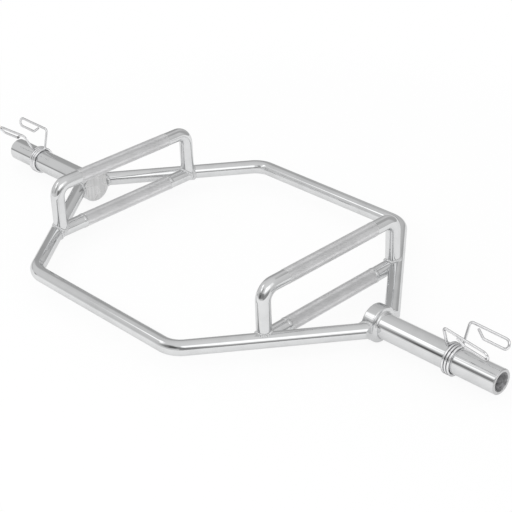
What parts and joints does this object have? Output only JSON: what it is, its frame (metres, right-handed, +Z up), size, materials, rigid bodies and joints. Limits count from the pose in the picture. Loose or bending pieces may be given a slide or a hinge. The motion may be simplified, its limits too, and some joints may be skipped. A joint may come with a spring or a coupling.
{
  "type": "hex trap bar",
  "caption": "Chromed hexagonal lifting bar with low and raised knurled handles, hollow plate sleeves with stop collars, and a sliding wire spring clip on each sleeve.",
  "frame": {"origin": "under the middle of the bar, on the floor that the two collars stand on", "axes": "+X along the sleeves to the right, +Y from front to rear, +Z up, to the raised handles"},
  "size_m": [1.4368, 0.6768, 0.1567],
  "materials": {
    "frame_tube": "bright chrome plate",
    "sleeve": "bright chrome plate",
    "collar": "chrome plate, turned faces",
    "knurled_handle": "chrome plate, satin where it is knurled",
    "weld_bead": "chrome plate over a rippled weld",
    "spring_wire": "bright plated spring wire"
  },
  "bodies": {
    "frame": {"front_frame_tube": "frame_tube", "rear_frame_tube": "frame_tube", "left_collar": "collar", "left_sleeve": "sleeve", "left_low_handle": "knurled_handle", "left_raised_handle": "knurled_handle", "right_collar": "collar", "right_sleeve": "sleeve", "right_low_handle": "knurled_handle", "right_raised_handle": "knurled_handle", "left_sleeve_weld": "weld_bead", "right_sleeve_weld": "weld_bead", "left_front_collar_weld": "weld_bead", "left_rear_collar_weld": "weld_bead", "right_front_collar_weld": "weld_bead", "right_rear_collar_weld": "weld_bead", "left_front_low_handle_weld": "weld_bead", "left_rear_low_handle_weld": "weld_bead", "right_front_low_handle_weld": "weld_bead", "right_rear_low_handle_weld": "weld_bead", "left_front_post_weld": "weld_bead", "left_rear_post_weld": "weld_bead", "right_front_post_weld": "weld_bead", "right_rear_post_weld": "weld_bead"},
    "left_clip": {"left_clip_coil": "spring_wire"},
    "left_clip_inner_grip": {"left_clip_inner_handle": "spring_wire"},
    "left_clip_outer_grip": {"left_clip_outer_handle": "spring_wire"},
    "right_clip": {"right_clip_coil": "spring_wire"},
    "right_clip_inner_grip": {"right_clip_inner_handle": "spring_wire"},
    "right_clip_outer_grip": {"right_clip_outer_handle": "spring_wire"}
  },
  "joints": [
    {"name": "left_clip_slide", "type": "slide", "parent": "frame", "child": "left_clip", "axis": [-1, 0, 0], "range_m": [-0.166, 0.104]},
    {"name": "left_clip_squeeze", "type": "hinge", "parent": "left_clip", "child": "left_clip_inner_grip", "pos_m": [-0.6, 0, 0.036], "axis": [1, 0, 0], "range_deg": [0, 15], "stiffness_Nm_per_rad": 8, "deforming": ["left_clip_coil"]},
    {"name": "left_clip_outer_squeeze", "type": "hinge", "parent": "left_clip", "child": "left_clip_outer_grip", "pos_m": [-0.6, 0, 0.036], "axis": [1, 0, 0], "range_deg": [-15, 0], "stiffness_Nm_per_rad": 8, "deforming": ["left_clip_coil"]},
    {"name": "right_clip_slide", "type": "slide", "parent": "frame", "child": "right_clip", "axis": [1, 0, 0], "range_m": [-0.15, 0.12]},
    {"name": "right_clip_squeeze", "type": "hinge", "parent": "right_clip", "child": "right_clip_inner_grip", "pos_m": [0.6, 0, 0.036], "axis": [-1, 0, 0], "range_deg": [0, 15], "stiffness_Nm_per_rad": 8, "deforming": ["right_clip_coil"]},
    {"name": "right_clip_outer_squeeze", "type": "hinge", "parent": "right_clip", "child": "right_clip_outer_grip", "pos_m": [0.6, 0, 0.036], "axis": [-1, 0, 0], "range_deg": [-15, 0], "stiffness_Nm_per_rad": 8, "deforming": ["right_clip_coil"]}
  ],
  "couplings": [
    {"joint": "left_clip_outer_squeeze", "follows": "left_clip_squeeze", "ratio": -1},
    {"joint": "right_clip_outer_squeeze", "follows": "right_clip_squeeze", "ratio": -1}
  ]
}
